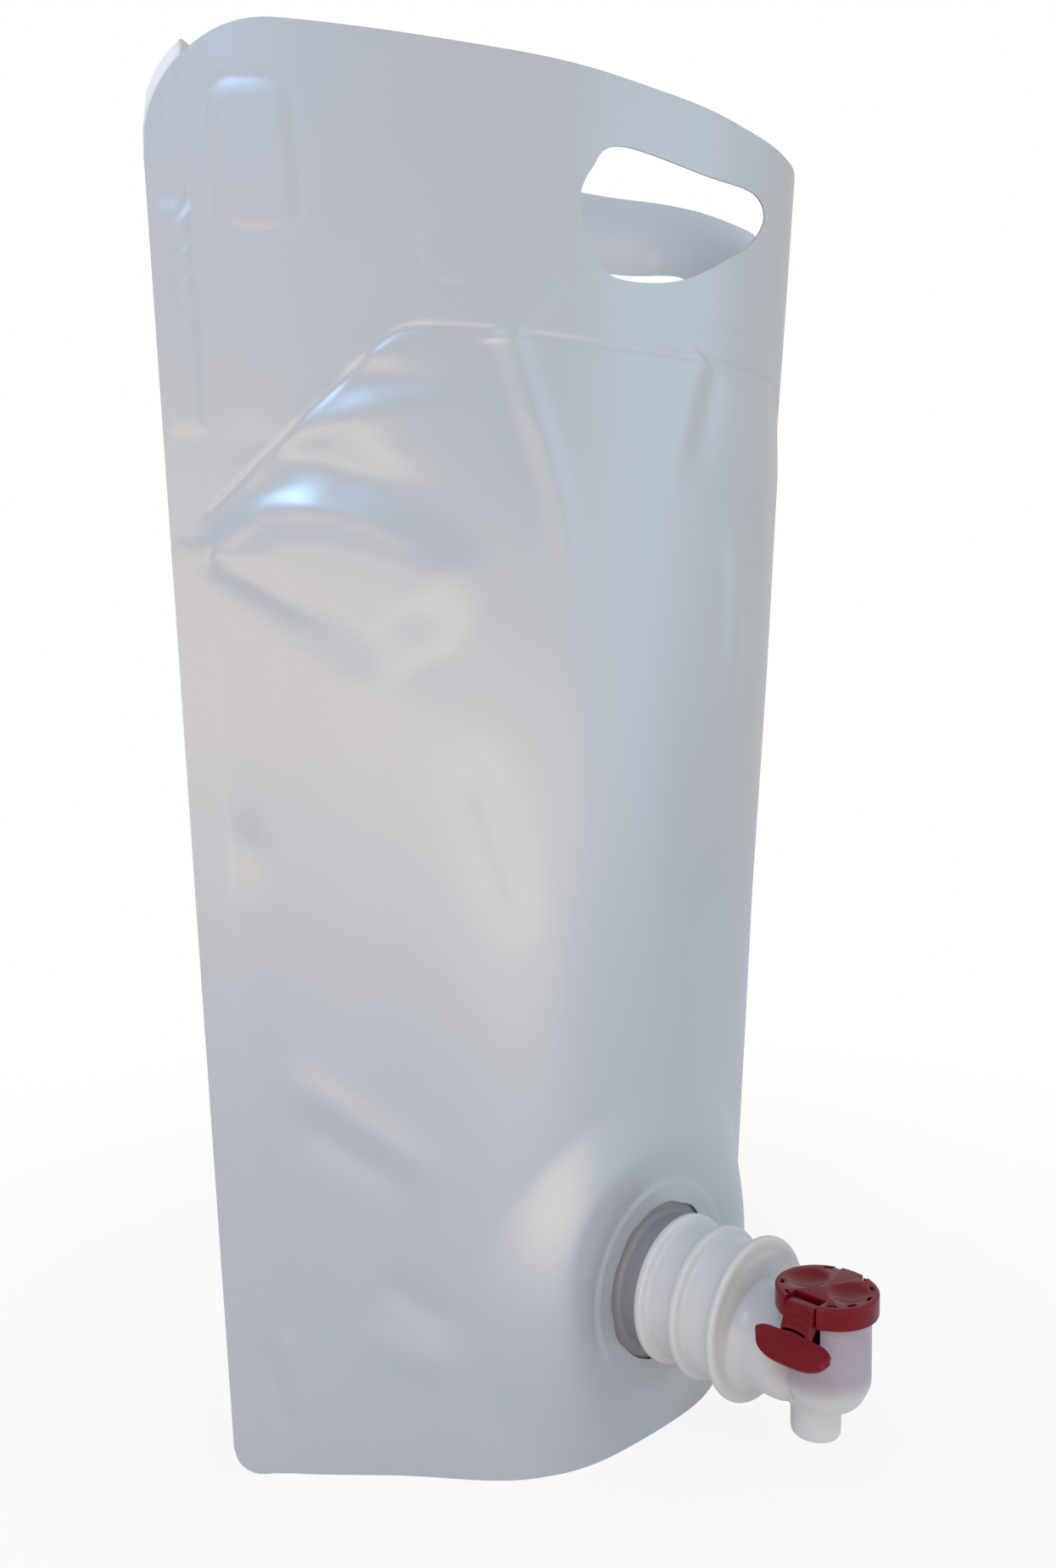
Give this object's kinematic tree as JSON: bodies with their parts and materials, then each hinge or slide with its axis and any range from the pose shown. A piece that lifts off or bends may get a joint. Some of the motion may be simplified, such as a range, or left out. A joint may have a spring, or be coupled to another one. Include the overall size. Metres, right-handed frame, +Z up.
{
  "type": "stand-up pouch with tap",
  "caption": "Stand-up film pouch for liquids with a die-cut carry hole, a welded spout and a lever tap near its base.",
  "frame": {"origin": "middle of the bounding box of the pouch with its tap, at the resting surface", "axes": "+Z up, the tap points along -Y, the seam beside the lever is towards -X"},
  "size_m": [0.2556, 0.2184, 0.4103],
  "materials": {
    "film": "pearly satin laminate",
    "natural_plastic": "translucent natural polyethylene, satin",
    "red_plastic": "moulded, satin",
    "membrane_rubber": "soft, natural"
  },
  "bodies": {
    "pouch": {"film_front": "film", "film_back": "film", "film_base": "film", "gland": "natural_plastic", "tap_body": "natural_plastic", "tap_membrane": "membrane_rubber", "tap_cap": "red_plastic"},
    "lever": {"tap_lever": "red_plastic"},
    "plunger": {"tap_plunger": "red_plastic"}
  },
  "joints": [
    {"name": "plunger_slide", "type": "slide", "parent": "pouch", "child": "plunger", "axis": [0, 0, -1], "range_m": [0, 0.00434], "stiffness_N_per_m": 10},
    {"name": "lever_lift", "type": "hinge", "parent": "pouch", "child": "lever", "pos_m": [-0.00835, -0.09514, 0.05803], "axis": [0, 1, 0], "range_deg": [0, 30]}
  ],
  "couplings": [
    {"joint": "lever_lift", "follows": "plunger_slide", "rad_per_m": 120.48}
  ]
}
